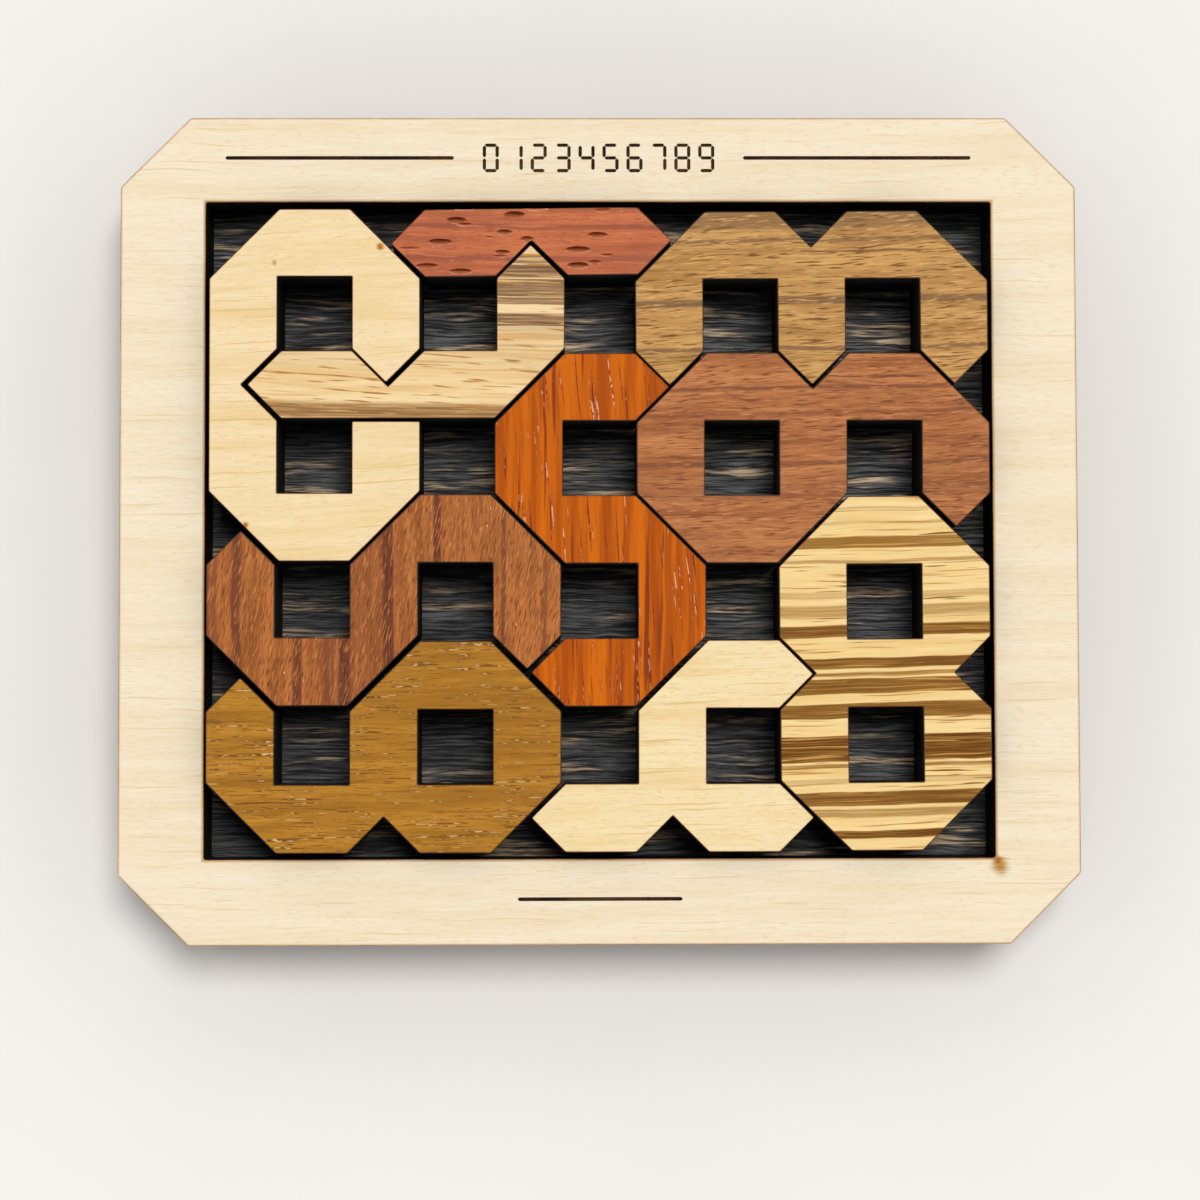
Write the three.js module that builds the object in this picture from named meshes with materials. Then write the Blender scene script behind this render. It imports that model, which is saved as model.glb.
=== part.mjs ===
// Tray puzzle: the ten numerals 0 to 9, each built of seven-segment bars with mitred ends,
// packed so that their bars take every edge of one square lattice inside a shallow wooden tray.
// Millimetres, +Z up. The tray lies on its back, with its origin under the middle of the floor board.

import * as THREE from 'three';

// The lattice that the bars lie on
const PITCH = 26;
const LATTICE_COLUMNS = 5;
const LATTICE_ROWS = 4;

// The bars of the digits
const BAR_WIDTH = 12.4;
const DIGIT_THICKNESS = 15;
const MITRE_GAP = 0.5;

// The tray: a floor board with a one-piece frame glued on it
const FLOOR_THICKNESS = 4;
const FRAME_DEPTH = 12.5;
const RIM_WIDTH = 15.55;
const CORNER_CUT = 12.8;
const PLAY_ACROSS = 0.85;
const PLAY_UP_AND_DOWN = 1.95;

// Every arris is eased a little
const EDGE_EASE = 0.12;

const BAR_HALF = BAR_WIDTH / 2;
const WINDOW_WIDTH = LATTICE_COLUMNS * PITCH + BAR_WIDTH + 2 * PLAY_ACROSS;
const WINDOW_HEIGHT = LATTICE_ROWS * PITCH + BAR_WIDTH + 2 * PLAY_UP_AND_DOWN;
const TRAY_WIDTH = WINDOW_WIDTH + 2 * RIM_WIDTH;
const TRAY_HEIGHT = WINDOW_HEIGHT + 2 * RIM_WIDTH;

// A numeral's own lattice is one space wide and two high. Its seven bars run clockwise from the top one,
// with the middle one last.
const NUMERAL_MIDDLE = new THREE.Vector2(0.5, 1);
const BARS = {
  a: [new THREE.Vector2(0, 2), new THREE.Vector2(1, 2)],
  b: [new THREE.Vector2(1, 2), new THREE.Vector2(1, 1)],
  c: [new THREE.Vector2(1, 1), new THREE.Vector2(1, 0)],
  d: [new THREE.Vector2(1, 0), new THREE.Vector2(0, 0)],
  e: [new THREE.Vector2(0, 0), new THREE.Vector2(0, 1)],
  f: [new THREE.Vector2(0, 1), new THREE.Vector2(0, 2)],
  g: [new THREE.Vector2(0, 1), new THREE.Vector2(1, 1)],
};

// Each numeral's bars and its place in the tray: the lattice column and row of its middle, its quarter turns
// anticlockwise, and whether it lies face down. The digits lie loose, so each has drifted across and up by a
// share of the mitre gap and tilted by a rise of that share in one pitch. The 0 is parted where the 7 passes.
const NUMERALS = [
  { bars: 'abcdef', column: 0.5, row: 3, turns: 0, drift: [0.3, 0.45], parted: 'bc' },
  { bars: 'bc', column: 2, row: 3.5, turns: 1, drift: [1.6, 0.65], tilt: 0.6 },
  { bars: 'abged', column: 1, row: 1.5, turns: 1, drift: [-0.4, -0.1], faceDown: true },
  { bars: 'abgcd', column: 4, row: 3.5, turns: 1, drift: [-0.35, -0.45], tilt: 0.25 },
  { bars: 'fgbc', column: 3, row: 0.5, turns: -1, drift: [0.3, -1.25] },
  { bars: 'afgcd', column: 2.5, row: 2, turns: 0, drift: [0.3, -0.5] },
  { bars: 'afgecd', column: 1, row: 0.5, turns: 1, drift: [-0.45, -1.45] },
  { bars: 'abc', column: 1, row: 3.5, turns: -1, drift: [1.05, 0.5] },
  { bars: 'abcdefg', column: 4.5, row: 1, turns: 0, drift: [-0.2, -0.9], tilt: 0.3 },
  { bars: 'abcdfg', column: 4, row: 2.5, turns: 1, drift: [0, -0.45] },
];

const WOOD_ROUGHNESS = 0.6;
const FRAME_WOOD = 0xe6d3b4;
const FLOOR_WOOD = 0x3a332e;
const DIGIT_WOODS = [
  0xe2c99f, 0xa8402c, 0x8a5638, 0xa87a48, 0xe8d4ae,
  0xb8602c, 0xa88a48, 0xd4b07c, 0xc49a64, 0x7c4a34,
];

function leftOf(way) {
  return new THREE.Vector2(-way.y, way.x);
}

function rightOf(way) {
  return new THREE.Vector2(way.y, -way.x);
}

// A straight stretch of an outline: it runs along way, moved to its left, into the wood, by inset.
function stretch(point, way, inset) {
  const through = leftOf(way).multiplyScalar(inset).add(point);
  return { through, way };
}

// The corner where two stretches meet.
function cornerOf(first, second) {
  const between = second.through.clone().sub(first.through);
  const reach = between.cross(second.way) / first.way.cross(second.way);
  return first.way.clone().multiplyScalar(reach).add(first.through);
}

// A point of the numeral's lattice in millimetres, from the numeral's middle.
function placeOf(latticePoint) {
  return latticePoint.clone().sub(NUMERAL_MIDDLE).multiplyScalar(PITCH);
}

// Both sides of every bar, each walked with the wood on the left.
function walksOf(bars) {
  return [...bars].flatMap((bar) => {
    const [start, end] = BARS[bar];
    const way = end.clone().sub(start);
    return [
      { bar, from: start, to: end, way },
      { bar, from: end, to: start, way: way.clone().negate() },
    ];
  });
}

// The walk that goes on from a bar's end: the sharpest right turn there is, or back along the same bar.
function walkAfter(walk, walks, parted) {
  const onward = walks.filter((other) => {
    const isParted = parted.includes(walk.bar) && parted.includes(other.bar) && walk.bar !== other.bar;
    return other.from.equals(walk.to) && !isParted;
  });
  const turns = [rightOf(walk.way), walk.way, leftOf(walk.way), walk.way.clone().negate()];
  const wayOn = turns.find((turn) => onward.some((other) => other.way.equals(turn)));
  return onward.find((other) => other.way.equals(wayOn));
}

// True where the outline runs straight past a joint of two bars on the numeral's outer side.
function isPlainSide(walk, walks) {
  const barsThere = walks.filter((other) => other.from.equals(walk.to)).length;
  const outward = walk.to.x - NUMERAL_MIDDLE.x;
  return barsThere === 2 && outward * rightOf(walk.way).x > 0;
}

// The stretches between the flank of one bar and the flank of the next. A free end comes to a point, or is
// square if it faces another digit's flank; a bend is cut off at 45 degrees; a straight joint has a V notch.
function jointStretches(walk, next, walks, parted) {
  const node = placeOf(walk.to);
  const mitreIn = stretch(node, walk.way.clone().add(leftOf(walk.way)).normalize(), MITRE_GAP / 2);
  const mitreOut = stretch(node, next.way.clone().add(rightOf(walk.way)).normalize(), MITRE_GAP / 2);
  const mitreBack = stretch(node, next.way.clone().add(leftOf(walk.way)).normalize(), MITRE_GAP / 2);
  const turn = walk.way.cross(next.way);
  if (next.bar === walk.bar) {
    const isSquare = parted.indexOf(walk.bar) > 0 && walk.to.y === NUMERAL_MIDDLE.y;
    return isSquare ? [stretch(node, leftOf(walk.way), BAR_HALF + MITRE_GAP)] : [mitreIn, mitreBack];
  }
  if (turn < 0 || (turn === 0 && isPlainSide(walk, walks))) {
    return [];
  }
  return turn > 0 ? [mitreIn] : [mitreIn, mitreOut];
}

// One closed loop of corners, starting along the given walk, which is struck off with the others it takes.
function traceLoop(start, walks, untraced, parted) {
  const stretches = [];
  let walk = start;
  do {
    untraced.delete(walk);
    const flank = stretch(placeOf(walk.from), walk.way, -BAR_HALF);
    const next = walkAfter(walk, walks, parted);
    stretches.push(flank, ...jointStretches(walk, next, walks, parted));
    walk = next;
  } while (walk !== start);
  const bends = stretches.filter((side, i) => !side.way.equals(stretches.at(i - 1).way));
  return bends.map((side, i) => cornerOf(bends.at(i - 1), side));
}

// A numeral's outline, with the cells that its bars close round as holes.
function numeralShape({ bars, parted = '' }) {
  const walks = walksOf(bars);
  const untraced = new Set(walks);
  const loops = [];
  while (untraced.size > 0) {
    const [start] = untraced;
    loops.push(traceLoop(start, walks, untraced, parted));
  }
  const [outline] = loops.filter((loop) => THREE.ShapeUtils.area(loop) > 0);
  const shape = new THREE.Shape(outline);
  shape.holes = loops.filter((loop) => loop !== outline).map((loop) => new THREE.Path(loop));
  return shape;
}

// A board of the given outline with eased arrises, its underside at z = 0.
function boardGeometry(shape, thickness) {
  const geometry = new THREE.ExtrudeGeometry(shape, {
    depth: thickness - 2 * EDGE_EASE,
    bevelThickness: EDGE_EASE,
    bevelSize: EDGE_EASE,
    bevelOffset: -EDGE_EASE,
    bevelSegments: 1,
  });
  return geometry.translate(0, 0, EDGE_EASE);
}

// The tray's outline: a rectangle with its four corners cut off.
function trayOutline() {
  const x = TRAY_WIDTH / 2;
  const y = TRAY_HEIGHT / 2;
  return new THREE.Shape([
    new THREE.Vector2(x, y - CORNER_CUT),
    new THREE.Vector2(x - CORNER_CUT, y),
    new THREE.Vector2(CORNER_CUT - x, y),
    new THREE.Vector2(-x, y - CORNER_CUT),
    new THREE.Vector2(-x, CORNER_CUT - y),
    new THREE.Vector2(CORNER_CUT - x, -y),
    new THREE.Vector2(x - CORNER_CUT, -y),
    new THREE.Vector2(x, CORNER_CUT - y),
  ]);
}

// The opening in the frame that the digits are packed into.
function windowPath() {
  const x = WINDOW_WIDTH / 2;
  const y = WINDOW_HEIGHT / 2;
  return new THREE.Path([
    new THREE.Vector2(-x, -y),
    new THREE.Vector2(-x, y),
    new THREE.Vector2(x, y),
    new THREE.Vector2(x, -y),
  ]);
}

function woodMesh(name, geometry, color) {
  const material = new THREE.MeshStandardMaterial({ color, roughness: WOOD_ROUGHNESS, metalness: 0 });
  const mesh = new THREE.Mesh(geometry, material);
  mesh.name = name;
  return mesh;
}

function makeTray() {
  const tray = new THREE.Group();
  const floor = woodMesh('tray_floor', boardGeometry(trayOutline(), FLOOR_THICKNESS), FLOOR_WOOD);
  const ring = trayOutline();
  ring.holes.push(windowPath());
  const frame = woodMesh('tray_frame', boardGeometry(ring, FRAME_DEPTH), FRAME_WOOD);
  frame.position.z = FLOOR_THICKNESS;
  tray.add(floor, frame);
  return tray;
}

// A digit is modelled about its own middle, turned over if it lies face down, and set down on the floor.
function makeDigit(numeral, value) {
  const geometry = boardGeometry(numeralShape(numeral), DIGIT_THICKNESS);
  geometry.translate(0, 0, -DIGIT_THICKNESS / 2);
  const digit = woodMesh(`digit_${value}`, geometry, DIGIT_WOODS[value]);
  digit.rotation.y = numeral.faceDown ? Math.PI : 0;

  const { column, row, turns, drift, tilt = 0 } = numeral;
  const place = new THREE.Group();
  place.position.x = (column - LATTICE_COLUMNS / 2) * PITCH + drift[0] * MITRE_GAP;
  place.position.y = (row - LATTICE_ROWS / 2) * PITCH + drift[1] * MITRE_GAP;
  place.position.z = FLOOR_THICKNESS + DIGIT_THICKNESS / 2;
  place.rotation.z = turns * (Math.PI / 2) + Math.atan((tilt * MITRE_GAP) / PITCH);
  place.add(digit);
  return place;
}

const puzzle = new THREE.Group();
puzzle.name = 'digit_packing_puzzle';
puzzle.add(makeTray(), ...NUMERALS.map(makeDigit));

export default puzzle;
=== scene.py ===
"""Dresses the digit packing puzzle: ten laser-cut wooden numerals in a shallow maple tray.

Every piece starts as a merged copy of its solid, is finished by edits as by hand, and rides on its own
body. Sizes are in millimetres and turned into metres where a mesh or a light is made.
"""

import logging
import math
from dataclasses import dataclass, field
from enum import Enum, IntEnum
from typing import Callable, ClassVar, Optional, Union

import bmesh
import bpy
from mathutils import Color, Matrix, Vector


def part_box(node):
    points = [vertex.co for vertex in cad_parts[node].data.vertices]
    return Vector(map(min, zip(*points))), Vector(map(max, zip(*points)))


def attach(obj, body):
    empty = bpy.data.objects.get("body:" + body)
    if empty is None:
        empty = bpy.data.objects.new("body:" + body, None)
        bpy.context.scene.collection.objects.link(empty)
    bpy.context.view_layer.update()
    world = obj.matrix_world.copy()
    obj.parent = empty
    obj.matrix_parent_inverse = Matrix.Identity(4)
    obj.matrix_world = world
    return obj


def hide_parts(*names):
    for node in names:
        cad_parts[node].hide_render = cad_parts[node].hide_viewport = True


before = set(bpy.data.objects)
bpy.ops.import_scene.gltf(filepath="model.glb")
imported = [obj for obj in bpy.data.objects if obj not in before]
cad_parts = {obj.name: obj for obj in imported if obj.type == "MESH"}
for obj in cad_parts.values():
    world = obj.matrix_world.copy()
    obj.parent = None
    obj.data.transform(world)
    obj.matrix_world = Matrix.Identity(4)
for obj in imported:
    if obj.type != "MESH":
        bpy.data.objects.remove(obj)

LOG = logging.getLogger("packing_puzzle")
MM = 0.001

Colour = tuple[int, int, int]
Span = tuple[float, float]
Socket = bpy.types.NodeSocket
Feed = Union[float, tuple, Socket]
Piece = bpy.types.Object
Material = bpy.types.Material
Element = Union[bmesh.types.BMEdge, bmesh.types.BMFace]
Place = tuple[float, float, float]

FULL_CHANNEL = 255
# How much light falls on a face that looks up: paints are the seen colours divided by it
LIGHT_ON_TOP = 1.12
# The sockets of a colour mix, by number, because its other kinds have sockets of the same names
MIX_SHARE = 0
MIX_FIRST = 6
MIX_SECOND = 7
MIX_RESULT = 2
# The middle and the usual reach of a noise's values
NOISE_MIDDLE = 0.5
NOISE_SPAN: Span = (0.3, 0.7)
# A face turned up or down, and a wall, by the height of its normal
FLAT_NORMAL = 0.98
WALL_NORMAL = 0.3
MERGE_DISTANCE = 0.002
FLAT_SEAM = math.radians(1)
SMOOTH_ANGLE = math.radians(35)
# An edge that rises by more than this runs up a wall
LEAST_RISE = 0.1
CORNER_SEGMENTS = 3
SCORCH_LAYER = "scorch"
HALF_SCORCHED = 0.5
# Places in metres are looked up to this many digits
PLACE_DIGITS = 7
UNTURNED: Place = (0.0, 0.0, 0.0)
UPRIGHT: Place = (0.0, 0.0, math.pi / 2)
# The numeral whose wood has open pits
PITTED_VALUE = 1


class Grain(Enum):
    """The way a board's grain runs, as the tray lies before the reader."""

    ACROSS = "across"
    UPWARD = "upward"


class Side(IntEnum):
    """The finishes of a board, in the order of its material slots."""

    FACE = 0
    WALL = 1
    ARRIS = 2


class Pick(Enum):
    """What an edit selects."""

    EDGE = "EDGE"
    FACE = "FACE"


@dataclass(frozen=True)
class Layer:
    """One layer of noise: how long and wide its patches are, its slice, its detail and its roughness."""

    length: float
    width: float
    slice: float
    detail: float = 3.0
    rough: float = 0.55


def paint(colour: Colour, light: float = LIGHT_ON_TOP) -> tuple[float, float, float, float]:
    """Turns a colour as it is seen in daylight into a linear paint.

    Args:
        colour: red, green and blue from 0 to 255.
        light: the light on the face that the colour was seen on.

    Returns:
        The linear colour with full alpha.
    """
    seen = Color([channel / FULL_CHANNEL for channel in colour])
    return (*(value / light for value in seen.from_srgb_to_scene_linear()), 1.0)


class ShaderTree:
    """One material's node tree, with short calls for the nodes that the finishes need."""

    def __init__(self, name: str) -> None:
        """Makes an empty material with a principled shader.

        Args:
            name: the material's name.
        """
        self.material = bpy.data.materials.new(name)
        self.material.use_nodes = True
        self.tree = self.material.node_tree
        self.tree.nodes.clear()
        self.surface = self.add("ShaderNodeBsdfPrincipled")
        output = self.add("ShaderNodeOutputMaterial")
        self.tree.links.new(self.surface.outputs["BSDF"], output.inputs["Surface"])

    def add(self, kind: str) -> bpy.types.Node:
        """Adds a node of the given kind and returns it."""
        return self.tree.nodes.new(kind)

    def feed(self, socket: Socket, value: Feed) -> None:
        """Links a socket to another one, or sets its value.

        Args:
            socket: the socket that is fed.
            value: the other socket, or the value.
        """
        if isinstance(value, bpy.types.NodeSocket):
            self.tree.links.new(value, socket)
        else:
            socket.default_value = value

    def maths(self, operation: str, first: Feed, second: Feed = 0.0, clamp: bool = False) -> Socket:
        """Adds a sum of two numbers.

        Args:
            operation: the name of the operation, such as ADD.
            first: the first number or socket.
            second: the second number or socket.
            clamp: whether the result is kept between 0 and 1.

        Returns:
            The result's socket.
        """
        node = self.add("ShaderNodeMath")
        node.operation = operation
        node.use_clamp = clamp
        self.feed(node.inputs[0], first)
        self.feed(node.inputs[1], second)
        return node.outputs[0]

    def remap(
        self, value: Feed, low: float, high: float, to_low: float = 0.0, to_high: float = 1.0
    ) -> Socket:
        """Stretches a range of numbers onto another, smoothly and without overshoot.

        Args:
            value: the number or socket to stretch.
            low: the value that becomes to_low.
            high: the value that becomes to_high.
            to_low: the result's first end.
            to_high: the result's other end.

        Returns:
            The result's socket.
        """
        node = self.add("ShaderNodeMapRange")
        node.interpolation_type = "SMOOTHSTEP"
        for socket, number in zip(node.inputs, (value, low, high, to_low, to_high)):
            self.feed(socket, number)
        return node.outputs["Result"]

    def blend(self, share: Feed, first: Feed, second: Feed, mode: str = "MIX") -> Socket:
        """Mixes two colours.

        Args:
            share: how much of the second colour shows.
            first: the colour underneath.
            second: the colour on top.
            mode: the way they mix.

        Returns:
            The mixed colour's socket.
        """
        node = self.add("ShaderNodeMix")
        node.data_type = "RGBA"
        node.blend_type = mode
        self.feed(node.inputs[MIX_SHARE], share)
        self.feed(node.inputs[MIX_FIRST], first)
        self.feed(node.inputs[MIX_SECOND], second)
        return node.outputs[MIX_RESULT]

    def tinted(self, colour: Socket, level: Socket) -> Socket:
        """Returns a colour made lighter or darker by a level."""
        return self.blend(1.0, colour, self.point(level, level, level), "MULTIPLY")

    def stain(self, share: Feed, colour: Socket, clean: Colour, dark: Colour) -> Socket:
        """Lays a dark stain over a colour, by way of the warm tone that lies between the two.

        Args:
            share: how dark the stain is, from 0 to 1.
            colour: the colour so far.
            clean: the colour of the clean wood.
            dark: the colour of the full stain.

        Returns:
            The stained colour's socket.
        """
        warm = tuple(math.sqrt(first * second) for first, second in zip(paint(clean), paint(dark)))
        rising = self.maths("MULTIPLY", share, 2.0)
        colour = self.blend(self.maths("MINIMUM", rising, 1.0), colour, warm)
        return self.blend(self.maths("SUBTRACT", rising, 1.0, True), colour, paint(dark))

    def place(self) -> tuple[Socket, Socket, Socket]:
        """Adds the object's own place.

        Returns:
            Its x, y and z in millimetres.
        """
        coordinates = self.add("ShaderNodeTexCoord")
        scale = self.add("ShaderNodeVectorMath")
        scale.operation = "SCALE"
        self.feed(scale.inputs[0], coordinates.outputs["Object"])
        scale.inputs["Scale"].default_value = 1 / MM
        split = self.add("ShaderNodeSeparateXYZ")
        self.feed(split.inputs[0], scale.outputs[0])
        return split.outputs[0], split.outputs[1], split.outputs[2]

    def point(self, x: Feed, y: Feed, z: Feed) -> Socket:
        """Adds a vector.

        Args:
            x: its first number or socket.
            y: its second number or socket.
            z: its third number or socket.

        Returns:
            The vector.
        """
        node = self.add("ShaderNodeCombineXYZ")
        for socket, value in zip(node.inputs, (x, y, z)):
            self.feed(socket, value)
        return node.outputs[0]

    def noise(self, vector: Feed, detail: float = 3.0, rough: float = 0.55) -> Socket:
        """Adds a noise of scale one over a vector.

        Args:
            vector: the place in the noise.
            detail: how many finer layers it has.
            rough: how strong the finer layers are.

        Returns:
            The noise's value.
        """
        node = self.add("ShaderNodeTexNoise")
        self.feed(node.inputs["Vector"], vector)
        node.inputs["Scale"].default_value = 1.0
        node.inputs["Detail"].default_value = detail
        node.inputs["Roughness"].default_value = rough
        return node.outputs[0]

    def layer(self, along: Feed, across: Feed, layer: Layer, seed: float = 0.0) -> Socket:
        """Adds a noise that is stretched along the grain.

        Args:
            along: the place along the grain.
            across: the place across the grain.
            layer: the size and the kind of the noise.
            seed: moves the slice, so that every wood has its own.

        Returns:
            The noise's value.
        """
        stretched = self.maths("DIVIDE", along, layer.length)
        place = self.point(stretched, self.maths("DIVIDE", across, layer.width), seed + layer.slice)
        return self.noise(place, layer.detail, layer.rough)

    def relief(self, height: Socket, strength: float, depth: float) -> None:
        """Gives the surface a fine relief.

        Args:
            height: the relief's height, from 0 to 1.
            strength: how strongly it shows.
            depth: its depth in millimetres.
        """
        node = self.add("ShaderNodeBump")
        node.inputs["Strength"].default_value = strength
        node.inputs["Distance"].default_value = depth * MM
        self.feed(node.inputs["Height"], height)
        self.feed(self.surface.inputs["Normal"], node.outputs[0])

    def coat(self, colour: Socket, roughness: Feed, gloss: float) -> Material:
        """Gives the surface its colour, roughness and gloss.

        Args:
            colour: the colour.
            roughness: the roughness.
            gloss: how strongly the surface mirrors.

        Returns:
            The material.
        """
        self.feed(self.surface.inputs["Base Color"], colour)
        self.feed(self.surface.inputs["Roughness"], roughness)
        self.surface.inputs["Specular IOR Level"].default_value = gloss
        return self.material


@dataclass(frozen=True)
class Figure:
    """The broad light and dark of a board: how long and wide its patches are, and how hard they part."""

    length: float = 60.0
    width: float = 3.0
    low: float = 0.36
    high: float = 0.64

    DETAIL = 4.0
    ROUGH = 0.6

    def layer(self) -> Layer:
        """Returns the figure's layer of noise."""
        return Layer(self.length, self.width, 0.0, self.DETAIL, self.ROUGH)


@dataclass(frozen=True)
class Marks:
    """Streaks along the grain, such as pores and flecks, with pale dashes in them if they have an inlay."""

    colour: Colour
    length: float
    width: float
    # The value of the noise from which a streak shows, and how much more makes it full
    cover: float = 0.62
    softness: float = 0.06
    strength: float = 0.8
    depth: float = 0.0
    lean: float = 0.0
    inlay: Optional[Colour] = None
    dash: float = 1.6


@dataclass(frozen=True)
class Band:
    """A dark growth band: its place across the grain, half its width, its strength and its own colour."""

    place: float
    half: float
    strength: float
    edge: float = 0.25
    colour: Optional[Colour] = None


@dataclass(frozen=True)
class Knot:
    """A small knot or burn: its place, its radius and its strength."""

    x: float
    y: float
    radius: float
    strength: float = 0.7


@dataclass(frozen=True)
class WoodFinish:
    """A sanded and oiled wood with its own figure, marks, bands and knots."""

    name: str
    grain: Grain
    pale: Colour
    deep: Colour
    figure: Figure = Figure()
    marks: tuple[Marks, ...] = ()
    bands: tuple[Band, ...] = ()
    band_colour: Colour = (148, 104, 58)
    band_break: float = 0.75
    knots: tuple[Knot, ...] = ()
    knot_colour: Colour = (176, 112, 44)
    slant: float = 0.0
    waviness: float = 0.8
    fibre: float = 0.10
    roughness: float = 0.52
    gloss: float = 0.12
    seed: float = 0.0
    scorch_colour: Colour = (96, 54, 22)

    FIBRES = Layer(8.0, 0.36, 7.0, 3.0, 0.6)
    FIBRE_RELIEF: ClassVar[Span] = (0.7, 1.0)
    # What the fibres take from the roughness and add to it
    FIBRE_POLISH = 0.05
    FIBRE_DULLING = 0.08
    RELIEF_STRENGTH = 0.35
    RELIEF_DEPTH = 0.12
    WAVES = Layer(22.0, 14.0, 20.0, 2.0)
    WAVE_SWING = 4
    BAND_STREAKS = Layer(18.0, 0.34, 3.0, 3.0, 0.6)
    BAND_SPAN: ClassVar[Span] = (0.42, 0.66)
    BAND_LEVEL = 1.05
    FIRST_MARKS = 11.0
    NEXT_MARKS = 3.7
    MARK_DETAIL = 1.5
    MARK_ROUGH = 0.5
    # An inlay starts and is full at these shares of its marks' soft edge, and breaks into dashes
    CORE_SHARES: ClassVar[Span] = (0.6, 1.3)
    DASH_STRETCH = 3
    DASH_SLICE = 1.0
    DASH_DETAIL = 1.0
    DASH_SPAN: ClassVar[Span] = (0.5, 0.57)
    # A knot fades between these shares of its radius
    KNOT_SHARES: ClassVar[Span] = (1.5, 0.4)
    # The fibres break up a scorch, and the mesh's own layer of it fades
    SCORCH_SPAN: ClassVar[Span] = (0.25, 0.6)
    SCORCH_BREAK: ClassVar[Span] = (0.6, 1.0)
    SCORCH_FADE: ClassVar[Span] = (0.35, 1.0)
    SCORCH_LEVEL = 0.85

    def material(self, halo: Optional[Callable[[ShaderTree], Socket]] = None) -> Material:
        """Builds the wood.

        Args:
            halo: gives the scorch along the edges; without it, the mesh's own layer does.

        Returns:
            The material.
        """
        tree = ShaderTree(self.name)
        x, y, _ = tree.place()
        along, across = (x, y) if self.grain is Grain.ACROSS else (y, x)
        across = self._bent(tree, along, across)
        figure = tree.layer(along, across, self.figure.layer(), self.seed)
        depth = tree.remap(figure, self.figure.low, self.figure.high)
        colour = tree.blend(depth, paint(self.pale), paint(self.deep))
        fibres = tree.layer(along, across, self.FIBRES, self.seed)
        height = tree.remap(fibres, *NOISE_SPAN, *self.FIBRE_RELIEF)
        colour = self._banded(tree, colour, along, across)
        for place, marks in enumerate(self.marks):
            part = self.FIRST_MARKS + self.NEXT_MARKS * place
            colour, height = self._marked(tree, marks, (colour, height), (along, across), part)
        for knot in self.knots:
            colour = self._knotted(tree, knot, colour, (x, y), fibres)
        colour = tree.tinted(colour, tree.remap(fibres, *NOISE_SPAN, 1 - self.fibre, 1 + self.fibre))
        scorch = halo(tree) if halo else self._scorched(tree)
        broken = tree.remap(fibres, *self.SCORCH_SPAN, *self.SCORCH_BREAK)
        scorch = tree.maths("MULTIPLY", scorch, broken, True)
        colour = tree.blend(scorch, colour, paint(self.scorch_colour))
        tree.relief(height, self.RELIEF_STRENGTH, self.RELIEF_DEPTH)
        spread = (self.roughness - self.FIBRE_POLISH, self.roughness + self.FIBRE_DULLING)
        return tree.coat(colour, tree.remap(fibres, *NOISE_SPAN, *spread), self.gloss)

    def _bent(self, tree: ShaderTree, along: Socket, across: Socket) -> Socket:
        """Slants the grain and waves it gently.

        Args:
            tree: the material's tree.
            along: the place along the grain.
            across: the place across the grain.

        Returns:
            The new place across the grain.
        """
        wave = tree.maths("SUBTRACT", tree.layer(along, across, self.WAVES, self.seed), NOISE_MIDDLE)
        wave = tree.maths("MULTIPLY", wave, self.WAVE_SWING * self.waviness)
        slope = tree.maths("MULTIPLY", along, -self.slant)
        return tree.maths("ADD", across, tree.maths("ADD", wave, slope))

    def _banded(self, tree: ShaderTree, colour: Socket, along: Socket, across: Socket) -> Socket:
        """Lays the growth bands over the colour, each broken up by fine streaks.

        Args:
            tree: the material's tree.
            colour: the colour so far.
            along: the place along the grain.
            across: the place across the grain.

        Returns:
            The new colour.
        """
        if not self.bands:
            return colour
        streaks = tree.layer(along, across, self.BAND_STREAKS, self.seed)
        streaks = tree.remap(streaks, *self.BAND_SPAN, self.BAND_LEVEL, self.band_break)
        for tint in dict.fromkeys(band.colour or self.band_colour for band in self.bands):
            level: Feed = 0.0
            for band in self.bands:
                if (band.colour or self.band_colour) == tint:
                    distance = tree.maths("ABSOLUTE", tree.maths("SUBTRACT", across, band.place))
                    shade = tree.remap(distance, band.half + band.edge, band.half, 0.0, band.strength)
                    level = tree.maths("MAXIMUM", level, shade)
            colour = tree.stain(tree.maths("MULTIPLY", level, streaks, True), colour, self.pale, tint)
        return colour

    def _marked(
        self,
        tree: ShaderTree,
        marks: Marks,
        so_far: tuple[Socket, Socket],
        axes: tuple[Socket, Socket],
        part: float,
    ) -> tuple[Socket, Socket]:
        """Lays one kind of marks over the colour and presses them into the relief.

        Args:
            tree: the material's tree.
            marks: the marks to lay.
            so_far: the colour and the relief so far.
            axes: the places along and across the grain.
            part: which slice of the noise the marks come from.

        Returns:
            The new colour and relief.
        """
        colour, height = so_far
        along, across = axes
        leaning = tree.maths("ADD", across, tree.maths("MULTIPLY", along, marks.lean))
        layer = Layer(marks.length, marks.width, part, self.MARK_DETAIL, self.MARK_ROUGH)
        speckle = tree.layer(along, leaning, layer, self.seed)
        spots = tree.remap(speckle, marks.cover, marks.cover + marks.softness)
        colour = tree.stain(tree.maths("MULTIPLY", spots, marks.strength), colour, self.pale, marks.colour)
        if marks.inlay:
            start, full = (marks.cover + share * marks.softness for share in self.CORE_SHARES)
            wide = marks.dash / self.DASH_STRETCH
            dash = Layer(marks.dash, wide, part + self.DASH_SLICE, self.DASH_DETAIL)
            dashes = tree.remap(tree.layer(along, across, dash, self.seed), *self.DASH_SPAN)
            core = tree.remap(speckle, start, full)
            colour = tree.blend(tree.maths("MULTIPLY", core, dashes), colour, paint(marks.inlay))
        if marks.depth:
            height = tree.maths("SUBTRACT", height, tree.maths("MULTIPLY", spots, marks.depth))
        return colour, height

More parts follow.
